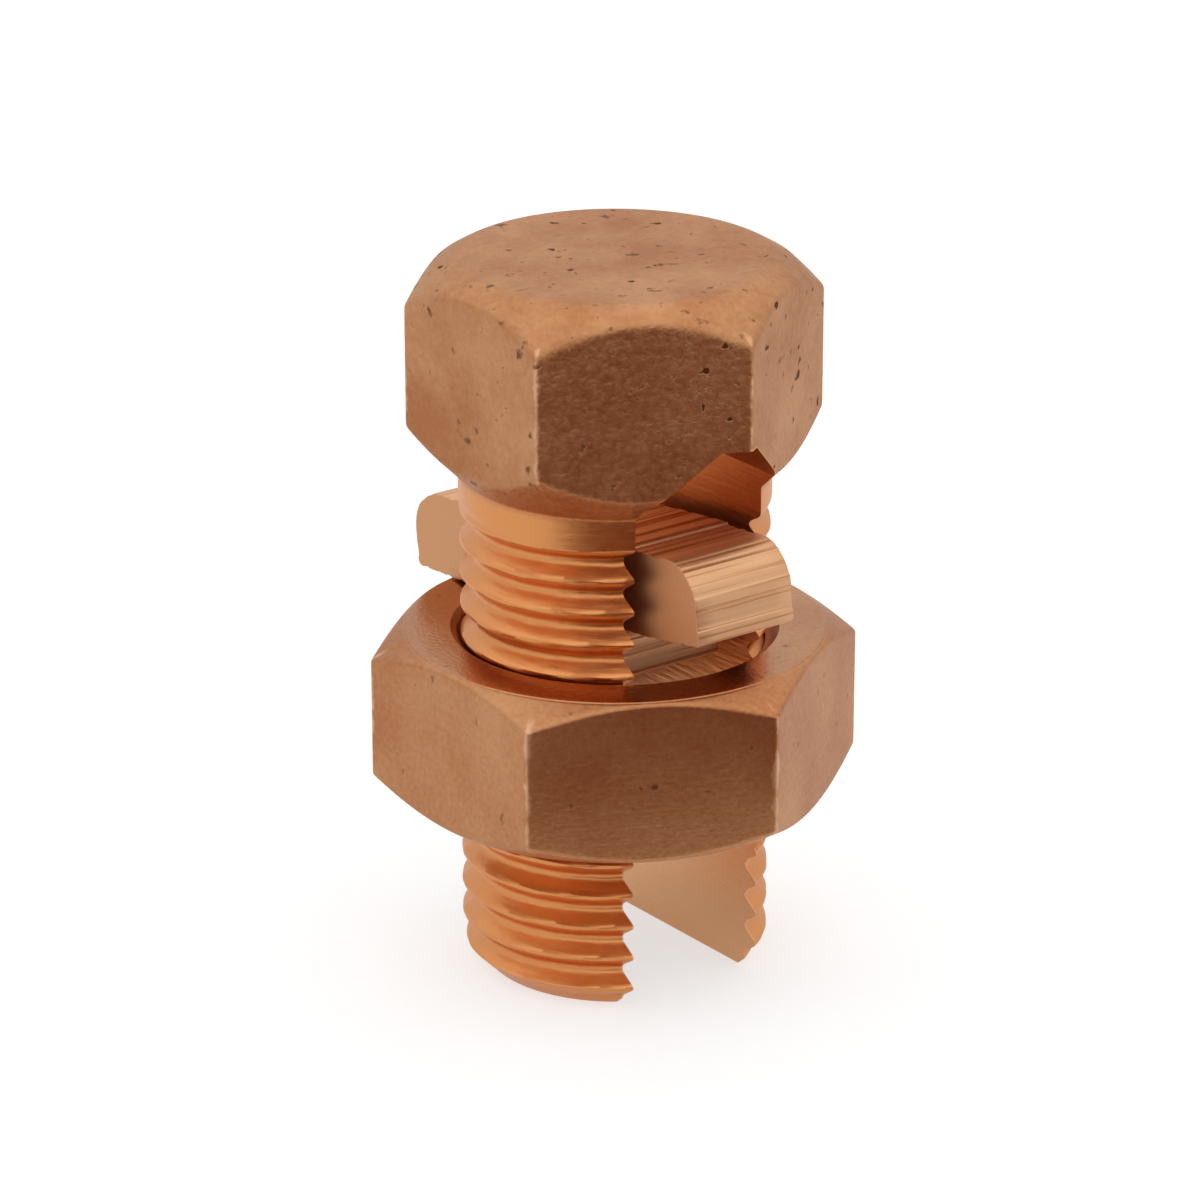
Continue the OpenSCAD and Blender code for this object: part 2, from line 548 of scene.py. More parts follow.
@dataclass(frozen=True)
class ForgedBronze:
    """Tumbled copper-alloy forging: satin, faintly mottled, with small dark scale pits on the head.

    Fields ending in _mm are the sizes of patterns. The rest of the lengths are places on the bolt.
    """

    pale: str = "#D19A6E"
    warm: str = "#B97A4E"
    rubbed_and_lit: str = "#E6B48C"
    thread: str = "#E89D61"
    lit_wall: str = "#F2BA8A"
    scale_pit: str = "#6B4029"
    mottle_mm: float = 5.0
    grain_mm: float = 0.28
    ragged_mm: float = 0.7
    bend_mm: float = 0.9
    pit_mm: float = 1.15
    tool_line_mm: float = 0.22
    relief_mm: float = 0.06
    # The forged skin starts at this height, over this blend.
    head_from: float = 23.2
    head_blend: float = 0.5
    # The slot's walls lie nearer its middle than this, and its flat roof lower than this.
    wall_from: float = 3.52
    roof_top: float = 26.8
    # The roof's two slopes fall by this much a millimetre from this height over the middle.
    roof_slope: float = 0.935
    roof_apex: float = 27.6
    # The walls turn from the thread's colour, under the head's shade, to a paler painted-light colour between
    # these heights.
    wall_shade_height: float = 15
    wall_lit_height: float = 9
    # The head's turn in degrees, and the radius past which its upright edges are rubbed bright and get a
    # painted highlight.
    turn: float = 1.9
    rubbed_and_lit_from: float = 8.7
    thread_rough: float = 0.27
    head_rough: float = 0.40

    def material(self) -> bpy.types.Material:
        """Builds the material.

        Returns:
            The material, which reads the piece's own coordinates.
        """
        material, tree, shader, place = new_material("Forged copper alloy, tumbled")
        apart = add(tree, "ShaderNodeSeparateXYZ", {0: place}).outputs
        height = apart[2]
        skin_full = (self.head_from + self.head_blend) * MM
        span = {"Value": height, "From Min": self.head_from * MM, "From Max": skin_full}
        head = add(tree, "ShaderNodeMapRange", span).outputs[0]
        # The slot's walls and roof are cut metal too, though they reach up into the head.
        aside = add(tree, "ShaderNodeMath", {0: apart[0]}, operation="ABSOLUTE").outputs[0]
        past_wall = {0: aside, 1: self.wall_from * MM}
        beside = add(tree, "ShaderNodeMath", past_wall, operation="GREATER_THAN").outputs[0]
        past_top = {0: height, 1: self.roof_top * MM}
        above = add(tree, "ShaderNodeMath", past_top, operation="GREATER_THAN").outputs[0]
        slope = {0: aside, 1: self.roof_slope, 2: height}
        roof = add(tree, "ShaderNodeMath", slope, operation="MULTIPLY_ADD").outputs[0]
        past_roof = {0: roof, 1: self.roof_apex * MM}
        over = add(tree, "ShaderNodeMath", past_roof, operation="GREATER_THAN").outputs[0]
        above = add(tree, "ShaderNodeMath", {0: above, 1: over}, operation="MAXIMUM").outputs[0]
        forged = add(tree, "ShaderNodeMath", {0: beside, 1: above}, operation="MAXIMUM").outputs[0]
        head = add(tree, "ShaderNodeMath", {0: head, 1: forged}, operation="MULTIPLY").outputs[0]
        # The mottle is the uneven film that tumbling leaves, a few millimetres across.
        mottle = add(
            tree, "ShaderNodeTexNoise", {"Vector": place, "Scale": per_mm(self.mottle_mm), "Detail": 5.0}
        ).outputs[0]
        grain = add(
            tree, "ShaderNodeTexNoise", {"Vector": place, "Scale": per_mm(self.grain_mm), "Detail": 2.0}
        ).outputs[0]
        patches = {"Vector": place, "Scale": per_mm(self.ragged_mm), "Detail": 4.0}
        ragged = add(tree, "ShaderNodeTexNoise", patches)
        skin = {0: ragged.outputs[0], 1: 0.8, 2: grain}
        skin = add(tree, "ShaderNodeMath", skin, operation="MULTIPLY_ADD").outputs[0]
        film = add(tree, "ShaderNodeMath", {0: skin, 1: 0.36, 2: mottle}, operation="MULTIPLY_ADD").outputs[0]
        tones = add(tree, "ShaderNodeValToRGB", {0: film})
        tones.color_ramp.elements[0].position = 0.66
        tones.color_ramp.elements[0].color = linear(self.warm)
        tones.color_ramp.elements[1].position = 1.0
        tones.color_ramp.elements[1].color = linear(self.pale)
        # Pale upright corners: partly real rubbed wear, partly a painted highlight along the edges.
        worn_and_lit_edges = edge_wear_and_highlight(tree, place, self.turn, self.rubbed_and_lit_from)
        rubbed_and_lit = add(
            tree,
            "ShaderNodeMix",
            {"Factor": worn_and_lit_edges, "A": tones.outputs[0], "B": linear(self.rubbed_and_lit)},
            data_type="RGBA",
        )
        # Painted light: towards the leg ends the slot's walls are painted paler than the thread, for the
        # light that falls there, and keep the thread's colour up in the head's shade.
        low = {"Value": height, "From Min": self.wall_shade_height * MM, "From Max": self.wall_lit_height * MM}
        low = add(tree, "ShaderNodeMapRange", low).outputs[0]
        lit_wall = add(tree, "ShaderNodeMath", {0: 1.0, 1: beside}, operation="SUBTRACT").outputs[0]
        pale = add(tree, "ShaderNodeMath", {0: low, 1: lit_wall}, operation="MULTIPLY").outputs[0]
        cut = {"Factor": pale, "A": linear(self.thread), "B": linear(self.lit_wall)}
        cut = add(tree, "ShaderNodeMix", cut, data_type="RGBA").outputs["Result"]
        body = add(
            tree,
            "ShaderNodeMix",
            {"Factor": head, "A": cut, "B": rubbed_and_lit.outputs["Result"]},
            data_type="RGBA",
        )
        # Scale pits are small and few, and their edges are ragged.
        bend = {0: ragged.outputs["Color"], "Scale": self.bend_mm * MM}
        spread = add(tree, "ShaderNodeVectorMath", bend, operation="SCALE")
        bent = add(tree, "ShaderNodeVectorMath", {0: place, 1: spread.outputs[0]}, operation="ADD")
        cells = add(tree, "ShaderNodeTexVoronoi", {"Vector": bent.outputs[0], "Scale": per_mm(self.pit_mm)})
        chance = add(tree, "ShaderNodeSeparateColor", {0: cells.outputs["Color"]}).outputs[0]
        likely = add(tree, "ShaderNodeMath", {0: chance, 1: mottle}, operation="MULTIPLY").outputs[0]
        sizes = {"Value": likely, "From Min": 0.15, "From Max": 0.55, "To Max": 0.21}
        size = add(tree, "ShaderNodeMapRange", sizes).outputs[0]
        inside = add(tree, "ShaderNodeMath", {0: size, 1: cells.outputs["Distance"]}, operation="SUBTRACT")
        rim = {"Value": inside.outputs[0], "From Max": 0.06}
        pit = add(tree, "ShaderNodeMapRange", rim).outputs[0]
        # Finer specks of the same scale lie all over the head.
        speck = {"Value": ragged.outputs[0], "From Min": 0.64, "From Max": 0.74, "To Max": 0.75}
        specks = add(tree, "ShaderNodeMapRange", speck).outputs[0]
        pit = add(tree, "ShaderNodeMath", {0: pit, 1: specks}, operation="MAXIMUM").outputs[0]
        pit = add(tree, "ShaderNodeMath", {0: pit, 1: head}, operation="MULTIPLY").outputs[0]
        colour = add(
            tree,
            "ShaderNodeMix",
            {"Factor": pit, "A": body.outputs["Result"], "B": linear(self.scale_pit)},
            data_type="RGBA",
        )
        tree.links.new(colour.outputs["Result"], shader.inputs["Base Color"])
        # The cut thread is brighter than the forged head, and both are rougher in their pits.
        polish = {"Value": head, "To Min": self.thread_rough, "To Max": self.head_rough}
        satin = add(tree, "ShaderNodeMapRange", polish).outputs[0]
        worn = add(tree, "ShaderNodeMath", {0: grain, 1: 0.16, 2: satin}, operation="MULTIPLY_ADD").outputs[0]
        rough = add(tree, "ShaderNodeMath", {0: pit, 1: 0.2, 2: worn}, operation="MULTIPLY_ADD").outputs[0]
        tree.links.new(rough, shader.inputs["Roughness"])
        # The tool's lines run round the shank, so they are stretched sideways.
        lines = add(tree, "ShaderNodeMapping", {"Vector": place, "Scale": (0.12, 0.12, 1.0)})
        tool = add(
            tree,
            "ShaderNodeTexNoise",
            {"Vector": lines.outputs[0], "Scale": per_mm(self.tool_line_mm), "Detail": 3.0},
        ).outputs[0]
        tool = add(tree, "ShaderNodeMath", {0: tool, 1: 0.4}, operation="MULTIPLY").outputs[0]
        surfaces = {"Factor": head, "A": tool, "B": skin}
        relief = add(tree, "ShaderNodeMix", surfaces, data_type="FLOAT").outputs[0]
        sunk = add(tree, "ShaderNodeMath", {0: pit, 1: -0.8, 2: relief}, operation="MULTIPLY_ADD").outputs[0]
        bump = add(tree, "ShaderNodeBump", {"Height": sunk, "Strength": 0.8, "Distance": self.relief_mm * MM})
        tree.links.new(bump.outputs[0], shader.inputs["Normal"])
        return material


@dataclass(frozen=True)
class ExtrudedBronze:
    """Extruded copper-alloy section: pale and satin, scratched along the way it was drawn."""

    pale: str = "#EDBA8E"
    deep: str = "#CE9262"
    line_mm: float = 0.22
    relief_mm: float = 0.05
    # The lines' strength on the sawn faces, which have none of their own.
    sawn: float = 0.42
    pale_rough: float = 0.42
    deep_rough: float = 0.58

    def material(self) -> bpy.types.Material:
        """Builds the material.

        Returns:
            The material, which reads the piece's own coordinates.
        """
        material, tree, shader, place = new_material("Extruded copper alloy, drawn")
        along = add(tree, "ShaderNodeMapping", {"Vector": place, "Scale": (0.012, 1.0, 1.0)})
        lines = add(
            tree,
            "ShaderNodeTexNoise",
            {"Vector": along.outputs[0], "Scale": per_mm(self.line_mm), "Detail": 4.0, "Roughness": 0.7},
        ).outputs[0]
        # The sawn faces across the bar don't have the drawn lines.
        normal = add(tree, "ShaderNodeTexCoord").outputs["Normal"]
        facing = add(tree, "ShaderNodeSeparateXYZ", {0: normal}).outputs[0]
        across = add(tree, "ShaderNodeMath", {0: facing}, operation="ABSOLUTE").outputs[0]
        faded = {"Factor": across, "A": lines, "B": self.sawn}
        lines = add(tree, "ShaderNodeMix", faded, data_type="FLOAT").outputs[0]
        tones = add(tree, "ShaderNodeValToRGB", {0: lines})
        tones.color_ramp.elements[0].position = 0.38
        tones.color_ramp.elements[0].color = linear(self.deep)
        tones.color_ramp.elements[1].position = 0.47
        tones.color_ramp.elements[1].color = linear(self.pale)
        tree.links.new(tones.outputs[0], shader.inputs["Base Color"])
        polish = {"Value": lines, "To Min": self.deep_rough, "To Max": self.pale_rough}
        rough = add(tree, "ShaderNodeMapRange", polish).outputs[0]
        tree.links.new(rough, shader.inputs["Roughness"])
        raised = {"Height": lines, "Strength": 0.4, "Distance": self.relief_mm * MM}
        bump = add(tree, "ShaderNodeBump", raised)
        tree.links.new(bump.outputs[0], shader.inputs["Normal"])
        return material


@dataclass(frozen=True)
class DrawnHexBronze:
    """Nut turned from drawn hexagonal bar: smooth, even sides and a faint lathe mark on each face."""

    pale: str = "#D0996D"
    warm: str = "#BC7C50"
    rubbed_and_lit: str = "#E3B18A"
    stain: str = "#8A5C42"
    mottle_mm: float = 6.0
    grain_mm: float = 0.25
    stain_mm: float = 0.9
    lathe_mark_mm: float = 0.18
    relief_mm: float = 0.04
    # The hexagon's turn in degrees, and the radius past which its upright edges are rubbed bright and get a
    # painted highlight.
    turn: float = 2.9
    rubbed_and_lit_from: float = 10.3
    face_rough: float = 0.24

    def material(self) -> bpy.types.Material:
        """Builds the material.

        Returns:
            The material, which reads the piece's own coordinates.
        """
        material, tree, shader, place = new_material("Drawn copper alloy, turned")
        mottle = add(
            tree, "ShaderNodeTexNoise", {"Vector": place, "Scale": per_mm(self.mottle_mm), "Detail": 4.0}
        ).outputs[0]
        fine = {"Vector": place, "Scale": per_mm(self.grain_mm), "Detail": 2.0}
        grain = add(tree, "ShaderNodeTexNoise", fine).outputs[0]
        skin = {0: grain, 1: 0.45, 2: mottle}
        film = add(tree, "ShaderNodeMath", skin, operation="MULTIPLY_ADD").outputs[0]
        tones = add(tree, "ShaderNodeValToRGB", {0: film})
        tones.color_ramp.elements[0].position = 0.55
        tones.color_ramp.elements[0].color = linear(self.warm)
        tones.color_ramp.elements[1].position = 0.93
        tones.color_ramp.elements[1].color = linear(self.pale)
        stains = {"Vector": place, "Scale": per_mm(self.stain_mm), "Detail": 3.0}
        specks = add(tree, "ShaderNodeTexNoise", stains).outputs[0]
        # Pale upright corners: partly real rubbed wear, partly a painted highlight along the edges.
        worn_and_lit_edges = edge_wear_and_highlight(tree, place, self.turn, self.rubbed_and_lit_from)
        rubbed_and_lit = add(
            tree,
            "ShaderNodeMix",
            {"Factor": worn_and_lit_edges, "A": tones.outputs[0], "B": linear(self.rubbed_and_lit)},
            data_type="RGBA",
        )
        edge = {"Value": specks, "From Min": 0.69, "From Max": 0.76}
        spot = add(tree, "ShaderNodeMapRange", edge).outputs[0]
        colour = add(
            tree,
            "ShaderNodeMix",
            {"Factor": spot, "A": rubbed_and_lit.outputs["Result"], "B": linear(self.stain)},
            data_type="RGBA",
        )
        tree.links.new(colour.outputs["Result"], shader.inputs["Base Color"])
        apart = add(tree, "ShaderNodeSeparateXYZ", {0: place}).outputs
        level = add(tree, "ShaderNodeCombineXYZ", {0: apart[0], 1: apart[1]})
        radius = add(tree, "ShaderNodeVectorMath", {0: level.outputs[0]}, operation="LENGTH").outputs["Value"]
        ring = add(tree, "ShaderNodeCombineXYZ", {0: radius, 1: apart[2]})
        marks = add(
            tree,
            "ShaderNodeTexNoise",
            {"Vector": ring.outputs[0], "Scale": per_mm(self.lathe_mark_mm), "Detail": 2.0},
        ).outputs[0]
        surface = {0: marks, 1: 0.5, 2: grain}
        relief = add(tree, "ShaderNodeMath", surface, operation="MULTIPLY_ADD").outputs[0]
        rough = add(tree, "ShaderNodeMapRange", {"Value": mottle, "To Min": 0.36, "To Max": 0.50}).outputs[0]
        # The faces are turned smoother than the bar's drawn sides, and mirror the shank above them.
        normal = add(tree, "ShaderNodeTexCoord").outputs["Normal"]
        facing = add(tree, "ShaderNodeSeparateXYZ", {0: normal}).outputs[2]
        flat = {"Value": facing, "From Min": 0.9, "From Max": 0.97}
        turned = add(tree, "ShaderNodeMapRange", flat).outputs[0]
        mixed = {"Factor": turned, "A": rough, "B": self.face_rough}
        rough = add(tree, "ShaderNodeMix", mixed, data_type="FLOAT").outputs[0]
        tree.links.new(rough, shader.inputs["Roughness"])
        raised = {"Height": relief, "Strength": 0.35, "Distance": self.relief_mm * MM}
        bump = add(tree, "ShaderNodeBump", raised)
        tree.links.new(bump.outputs[0], shader.inputs["Normal"])
        return material


@dataclass
class Thread:
    """The right-hand thread that the bolt and nut share, in millimetres."""

    pitch: float = 1.5
    crest_radius: float = 7.0
    depth: float = 0.68
    raggedness: float = 0.1
    # A crest passes this height at this many degrees from +X towards +Y.
    crest_height: float = 1.12
    crest_angle: float = -119.7
    # The bore's thread is this much wider and shallower, so that the two run clear.
    bore_wider: float = 0.1
    bore_shallower: float = 0.08
    # Only what lies nearer the axis than this is cut.
    reach: float = 8.0

    def cut(self, piece: bpy.types.Object, side: ThreadSide, top: float, run_out: float, finish: Any) -> None:
        """Cuts the thread into a blank.

        Args:
            piece: The blank.
            side: Whether the shank or the bore is cut.
            top: The height at which the thread ends, in millimetres.
            run_out: The length over which it fades there.
            finish: The blank's material.
        """
        bore = side is ThreadSide.BORE
        values = {
            "Pitch": self.pitch * MM,
            "Crest Radius": (self.crest_radius + (self.bore_wider if bore else 0)) * MM,
            "Depth": (self.depth - (self.bore_shallower if bore else 0)) * MM,
            "Crest Height": (self.crest_height - self.pitch * self.crest_angle / 360) * MM,
            "Top": top * MM,
            "Run Out": run_out * MM,
            "Reach": self.reach * MM,
            "Raggedness": (0 if bore else self.raggedness) * MM,
            "Bore": side.value,
            "Material": finish,
        }
        run_tree(piece, thread_tree(), values)


@dataclass
class SplitBolt:
    """The forged bolt: hexagon head, flared underside, threaded shank and the slot for the wires."""

    shank_radius: float = 7.0
    shank_length: float = 23.5
    height: float = 33.3
    head_flats: float = 16.25
    head_turn: float = 1.9
    head_flat_radius: float = 7.1
    head_crown: float = 0.6
    end_radius: float = 5.9
    thread_top: float = 22.4
    thread_run_out: float = 0.9
    # Radii that round the end's edges, the neck under the head, and the crown's edge and rim.
    end_edge: float = 0.1
    neck_edge: float = 0.25
    crown_edge: float = 0.5
    crown_rim: float = 1.2
    slot_half: float = 3.47
    slot_wall: float = 24.3
    slot_crown: float = 26.75
    slot_crown_half: float = 0.85
    cutter_below: float = 1.0
    cutter_half: float = 12
    # The section's steps are fine from this far inside the end's edge to this far past the shank,
    # and no shorter than this elsewhere.
    fine_inside: float = 0.2
    fine_past: float = 0.5
    head_step: float = 0.12

    def blank(self) -> bpy.types.Object:
        """Makes the turned blank trimmed by the head's hexagon.

        Returns:
            The blank, with no thread or slot yet.
        """
        side = self.head_flats / 2
        turned = BLANK_SHARE * side
        chamfer = self.shank_radius - self.end_radius
        corners = [
            Corner(0, 0),
            Corner(self.end_radius, 0, self.end_edge),
            Corner(self.shank_radius, chamfer, self.end_edge),
            Corner(self.shank_radius, self.shank_length, self.neck_edge),
            Corner(turned, self.shank_length + turned - self.shank_radius),
            Corner(turned, self.height - self.head_crown - (turned - side)),
            Corner(side, self.height - self.head_crown, self.crown_edge),
            Corner(self.head_flat_radius, self.height, self.crown_rim),
            Corner(0, self.height),
        ]
        inner, upper = self.end_radius - self.fine_inside, self.shank_length + self.fine_past
        points = rounded_outline(corners, SECTION_STEP, closed=False)
        section = thinned(points, lambda radius, z: z > upper or radius < inner, self.head_step)
        hexagon = Hexagon(self.head_flats, self.head_turn)
        return turned_mesh("split_bolt_forging", section, hexagon, closed=False)

    def slot_cutter(self) -> bpy.types.Object:
        """Makes the bar of space that the slot takes out of the blank.

        Returns:
            The cutter, which build removes again.
        """
        outline = [
            (-self.slot_half, -self.cutter_below),
            (self.slot_half, -self.cutter_below),
            (self.slot_half, self.slot_wall),
            (self.slot_crown_half, self.slot_crown),
            (-self.slot_crown_half, self.slot_crown),
            (-self.slot_half, self.slot_wall),
        ]
        work = bmesh.new()
        mouths = (-self.cutter_half, self.cutter_half)
        ends = [[work.verts.new((x * MM, y * MM, z * MM)) for x, z in outline] for y in mouths]
        work.faces.new(ends[0])
        work.faces.new(ends[1][::-1])
        for i in range(len(outline)):
            j = (i + 1) % len(outline)
            work.faces.new((ends[0][i], ends[1][i], ends[1][j], ends[0][j]))
        return piece_from(work, "slot_cutter")

    def build(self, thread: Thread) -> bpy.types.Object:
        """Makes the whole bolt.

        Args:
            thread: The thread to cut.

        Returns:
            The bolt, dressed.
        """
        finish = ForgedBronze().material()
        bolt = self.blank()
        thread.cut(bolt, ThreadSide.SHANK, self.thread_top, self.thread_run_out, finish)
        cutter = self.slot_cutter()
        slot = bolt.modifiers.new("slot", "BOOLEAN")
        slot.operation = "DIFFERENCE"
        slot.solver = "EXACT"
        slot.object = cutter
        bake_modifiers(bolt)
        bpy.data.objects.remove(cutter)
        smooth(bolt)
        return bolt


@dataclass
class Nut:
    """The hexagon nut: turned faces, chamfered corners, countersunk and threaded bore."""

    flats: float = 19.25
    turn: float = 2.9
    bottom: float = 8.38
    thickness: float = 7.6
    face_radius: float = 9.4325
    chamfer_degrees: float = 32
    countersink_radius: float = 7.4
    bore_radius: float = 6.5
    edge: float = 0.05
    face_edge: float = 0.03
    # The fine line that the lathe leaves where the flat meets the chamfer: its width and its two depths.
    line_width: float = 0.05
    line_top: float = 0.055
    line_foot: float = 0.065
    # The thread runs this far past the top face, where it fades over this length.
    thread_past: float = 1
    thread_run_out: float = 0.1
    # The section's steps are fine this near the faces' inner and outer edges, and no shorter than
    # this between them.
    fine_inner: float = 0.2
    fine_outer: float = 0.1
    face_step: float = 0.4

    def build(self, thread: Thread) -> bpy.types.Object:
        """Makes the nut.

        Args:
            thread: The thread to cut in its bore.

        Returns:
            The nut, dressed.
        """
        finish = DrawnHexBronze().material()
        turned = BLANK_SHARE * self.flats / 2
        top = self.bottom + self.thickness
        fall = (turned - self.face_radius) * math.tan(math.radians(self.chamfer_degrees))
        sink = self.countersink_radius - self.bore_radius
        face = self.face_radius
        corners = [
            Corner(self.bore_radius, self.bottom + sink),
            Corner(self.countersink_radius, self.bottom, self.edge),
            Corner(face, self.bottom, self.edge),
            Corner(turned, self.bottom + fall),
            Corner(turned, top - fall),
            Corner(face + 2 * self.line_width, top - self.line_foot),
            Corner(face + self.line_width, top - self.line_top),
            Corner(face, top, self.face_edge),
            Corner(self.countersink_radius, top, self.edge),
            Corner(self.bore_radius, top - sink),
        ]
        inner, outer = self.countersink_radius + self.fine_inner, face - self.fine_outer
        points = rounded_outline(corners, SECTION_STEP, closed=True)
        section = thinned(points, lambda radius, z: inner < radius < outer, self.face_step)
        nut = turned_mesh("hexagon_nut", section, Hexagon(self.flats, self.turn), closed=True)
        thread.cut(nut, ThreadSide.BORE, top + self.thread_past, self.thread_run_out, finish)
        smooth(nut)
        return nut


@dataclass
class PressureBar:
    """The pressure bar: an extruded T across the slot, with rounded ears, a pad above and a lug below."""

    width: float = 5.26
    half_length: float = 10.65
    thickness: float = 3.9
    end_radius: float = 1.95
    ear_lift: float = 0.2
    ear_foot: float = 7.03
    pad_half: float = 6.3
    pad_height: float = 0.15
    lug_half: float = 5.0
    lug_depth: float = 2.35
    tilt_degrees: float = 6.8
    shift: float = 1.0
    base: float = 16.94
    edge_break: float = 0.06
    # Radii that round the lug's edge and root, the ear's lower edge and the pad, and the pad's slope.
    lug_edge: float = 0.35
    lug_root: float = 0.25
    ear_edge: float = 0.3
    pad_edge: float = 0.1
    pad_slope: float = 0.12
    outline_step: float = 0.06
    # Rows of points lie this far apart along the bar.
    row_step: float = 0.85
    line_spacing: float = 0.85
    line_depth: float = 0.05
    line_seed: float = 4.0

    def outline(self) -> list[Point]:
        """Gives the bar's outline seen along X, in its own untilted place.

        Returns:
            The outline's points in millimetres, across the bolt and up.
        """
        pad_top = self.thickness + self.pad_height
        right = [
            Corner(self.lug_half, -self.lug_depth, self.lug_edge),
            Corner(self.lug_half, 0, self.lug_root),
            Corner(self.ear_foot, 0),
            Corner(self.half_length, self.ear_lift, self.ear_edge),
            Corner(self.half_length, self.thickness, self.end_radius),
            Corner(self.pad_half + self.pad_slope, self.thickness, self.pad_edge),
            Corner(self.pad_half, pad_top, self.pad_edge),
        ]
        left = [Corner(-c.across, c.up, c.radius) for c in reversed(right)]
        return rounded_outline(right + left, self.outline_step, closed=True)

    def build(self) -> bpy.types.Object:
        """Makes the pressure bar and lays it in its place.

        Returns:
            The bar, dressed.
        """
        finish = ExtrudedBronze().material()
        outline = [Vector(p) for p in self.outline()]
        normals = []
        for i in range(len(outline)):
            run = outline[(i + 1) % len(outline)] - outline[i - 1]
            normals.append(Vector((run.y, -run.x)).normalized())
        half, chamfer = self.width / 2, self.edge_break
        bend = 0.3 * chamfer
        # Each station is a place along X and how far the outline is drawn in there.
        stations = [(-half, chamfer), (-half + bend, bend), (-half + chamfer, 0.0)]
        stations += [(self.row_step * k, 0.0) for k in range(-2, 3)]
        stations += [(-x, inset) for x, inset in reversed(stations[:3])]
        work = bmesh.new()
        rings = []
        for x, inset in stations:
            ring = [p - n * inset for p, n in zip(outline, normals)]
            rings.append([work.verts.new((x * MM, p.x * MM, p.y * MM)) for p in ring])
        for one, two in zip(rings, rings[1:]):
            for i in range(len(outline)):
                j = (i + 1) % len(outline)
                work.faces.new((one[i], one[j], two[j], two[i]))
        work.faces.new(rings[0])
        work.faces.new(rings[-1][::-1])
        bar = piece_from(work, "pressure_bar_section")
        values = {
            "Spacing": self.line_spacing * MM,
            "Depth": self.line_depth * MM,
            "Seed": self.line_seed,
            "Material": finish,
        }
        run_tree(bar, die_line_tree(), values)
        place = Matrix.Translation((0, self.shift * MM, self.base * MM))
        bar.data.transform(place @ Matrix.Rotation(math.radians(-self.tilt_degrees), 4, "X"))
        smooth(bar)
        self.flatten_ends(bar)
        return bar

    def flatten_ends(self, bar: bpy.types.Object) -> None:
        """Divides the two sawn faces into triangles and shades them flat.

        Args:
            bar: The finished bar, whose sawn faces are still whole.
        """
        work = bmesh.new()
        work.from_mesh(bar.data)
        ends = [face for face in work.faces if len(face.verts) > 4]
        for face in ends:
            face.smooth = False
        bmesh.ops.triangulate(work, faces=ends)
        work.to_mesh(bar.data)
        work.free()


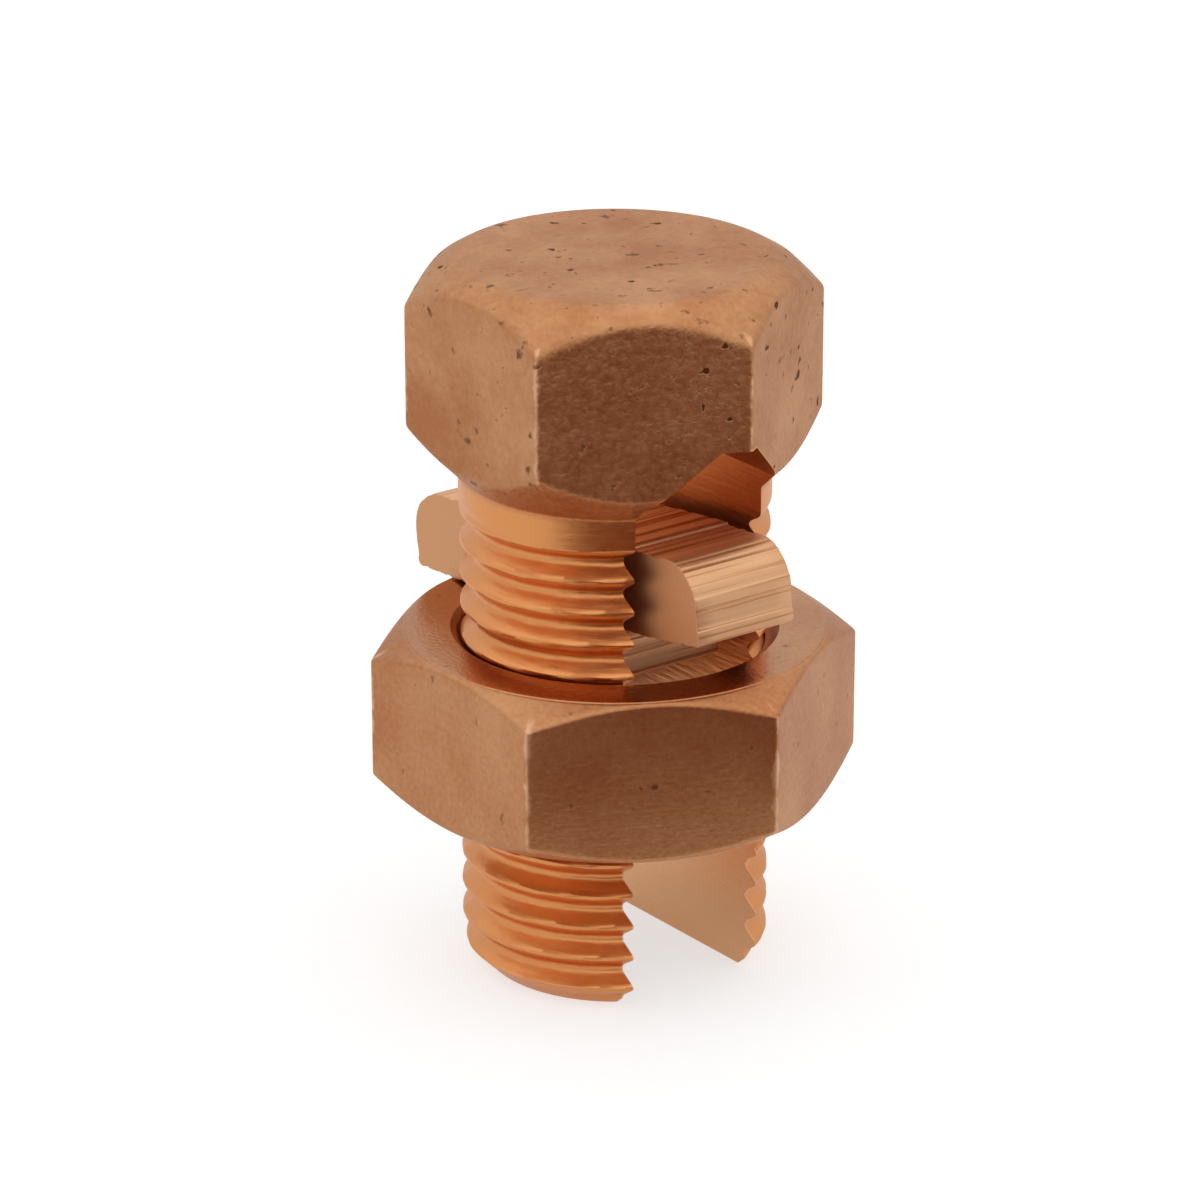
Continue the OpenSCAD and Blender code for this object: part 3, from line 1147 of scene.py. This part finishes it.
@dataclass
class Studio:
    """Pale floor, soft light all round, a dark card in front, and the camera.

    Angles are in degrees and lengths in millimetres, apart from the clips and the floor's radius, in metres.
    """

    azimuth: float = -36.84
    elevation: float = 21.15
    distance: float = 244.4
    lens: float = 163.4
    sensor: float = 36.0
    clip_near: float = 0.005
    clip_far: float = 10.0
    target_height: float = 17.105
    target_side: float = -0.668
    light_level: float = 0.72
    overhead: float = 1.1
    # How far up a direction points where the overhead light starts and where it is full.
    overhead_from: float = 0.35
    overhead_full: float = 0.8
    # The floor's radius, its drop below the object, its paint and its glow in the view.
    floor_radius: float = 1.5
    floor_drop: float = 0.05
    floor_paint: str = "#B8B8B8"
    floor_glow: float = 0.62
    # The share of that glow that metal shows.
    floor_mirrored: float = 0.6
    # The dark card's near and far edges: distance, half width and height. It is turned in degrees about +Z.
    card_near: tuple[float, float, float] = (26, 45, 0.5)
    card_far: tuple[float, float, float] = (230, 95, 44)
    card_turn: float = -112
    card_paint: str = "#6E381A"

    def floor(self) -> None:
        """Lays the white floor, which keeps the object's shadow."""
        work = bmesh.new()
        bmesh.ops.create_circle(work, cap_ends=True, segments=96, radius=self.floor_radius)
        floor = piece_from(work, "studio_floor")
        floor.location.z = -self.floor_drop * MM
        material = bpy.data.materials.new("White studio floor")
        material.use_nodes = True
        tree = material.node_tree
        tree.nodes.clear()
        path = add(tree, "ShaderNodeLightPath").outputs
        # Metal shows the white floor too, a little dimmer than the view does.
        mirrored = {0: path["Is Glossy Ray"], 1: self.floor_mirrored}
        seen = add(tree, "ShaderNodeMath", mirrored, operation="MULTIPLY").outputs[0]
        for ray in ("Is Camera Ray", "Is Transmission Ray"):
            seen = add(tree, "ShaderNodeMath", {0: path[ray], 1: seen}, operation="MAXIMUM").outputs[0]
        glow = add(tree, "ShaderNodeMath", {0: seen, 1: self.floor_glow}, operation="MULTIPLY").outputs[0]
        paint = add(tree, "ShaderNodeBsdfDiffuse", {"Color": linear(self.floor_paint)}).outputs[0]
        light = add(tree, "ShaderNodeEmission", {"Color": (1, 1, 1, 1), "Strength": glow}).outputs[0]
        both = add(tree, "ShaderNodeAddShader", {0: paint, 1: light}).outputs[0]
        add(tree, "ShaderNodeOutputMaterial", {"Surface": both})
        floor.data.materials.append(material)

    def dark_card(self) -> None:
        """Lays a dark card in front, below the view, for the facets that face the camera to show."""
        work = bmesh.new()
        (near, near_half, low), (far, far_half, high) = self.card_near, self.card_far
        corners = [(near, -near_half, low), (near, near_half, low)]
        corners += [(far, far_half, high), (far, -far_half, high)]
        turn = Matrix.Rotation(math.radians(self.card_turn), 3, "Z")
        verts = [work.verts.new(turn @ Vector((x * MM, y * MM, z * MM))) for x, y, z in corners]
        work.faces.new(verts)
        card = piece_from(work, "dark_card")
        material = bpy.data.materials.new("Dark card")
        material.use_nodes = True
        tree = material.node_tree
        tree.nodes.clear()
        paint = add(tree, "ShaderNodeBsdfDiffuse", {"Color": linear(self.card_paint)}).outputs[0]
        add(tree, "ShaderNodeOutputMaterial", {"Surface": paint})
        card.data.materials.append(material)
        card.visible_camera = False
        card.visible_diffuse = False
        card.visible_shadow = False

    def world(self) -> None:
        """Lights the scene evenly, with a white background."""
        world = bpy.data.worlds.new("Soft studio light")
        bpy.context.scene.world = world
        world.use_nodes = True
        tree = world.node_tree
        tree.nodes.clear()
        path = add(tree, "ShaderNodeLightPath").outputs
        # The light is strongest overhead, as under a large soft box.
        way = add(tree, "ShaderNodeTexCoord").outputs["Generated"]
        up = add(tree, "ShaderNodeSeparateXYZ", {0: way}).outputs[2]
        span = {"Value": up, "From Min": self.overhead_from, "From Max": self.overhead_full}
        span |= {"To Min": self.light_level, "To Max": self.overhead}
        dome = add(tree, "ShaderNodeMapRange", span).outputs[0]
        seen = {"Factor": path["Is Camera Ray"], "A": dome, "B": 1.0}
        level = add(tree, "ShaderNodeMix", seen, data_type="FLOAT").outputs[0]
        light = add(tree, "ShaderNodeBackground", {"Color": (1, 1, 1, 1), "Strength": level}).outputs[0]
        add(tree, "ShaderNodeOutputWorld", {"Surface": light})

    def camera(self) -> None:
        """Sets the camera."""
        a, e = math.radians(self.azimuth), math.radians(self.elevation)
        back = Vector((math.sin(a) * math.cos(e), -math.cos(a) * math.cos(e), math.sin(e)))
        right = Vector((math.cos(a), math.sin(a), 0))
        target = Vector((0, 0, self.target_height)) + right * self.target_side
        data = bpy.data.cameras.new("camera")
        data.lens, data.sensor_width = self.lens, self.sensor
        data.clip_start, data.clip_end = self.clip_near, self.clip_far
        camera = bpy.data.objects.new("camera", data)
        bpy.context.scene.collection.objects.link(camera)
        camera.location = (target + back * self.distance) * MM
        camera.rotation_mode = "QUATERNION"
        camera.rotation_quaternion = (-back).to_track_quat("-Z", "Y")
        bpy.context.scene.camera = camera

    def build(self) -> None:
        """Sets up the floor, the light and the camera."""
        self.floor()
        self.dark_card()
        self.world()
        self.camera()
        bpy.context.scene.view_settings.view_transform = "Standard"


def mount(piece: bpy.types.Object, node: str) -> None:
    """Puts a finished piece in its CAD node's place.

    Args:
        piece: The piece.
        node: The CAD node and body that it stands for.
    """
    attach(piece, node)
    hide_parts(node)
    log.info("%s: %d faces, rides on %s", piece.name, len(piece.data.polygons), node)


def main() -> None:
    """Builds the connector and its studio, in order."""
    logging.basicConfig(level=logging.INFO, format="%(name)s: %(message)s")
    Studio().build()
    thread = Thread()
    mount(SplitBolt().build(thread), "split_bolt")
    mount(Nut().build(thread), "nut")
    mount(PressureBar().build(), "pressure_bar")


if __name__ == "__main__":
    main()
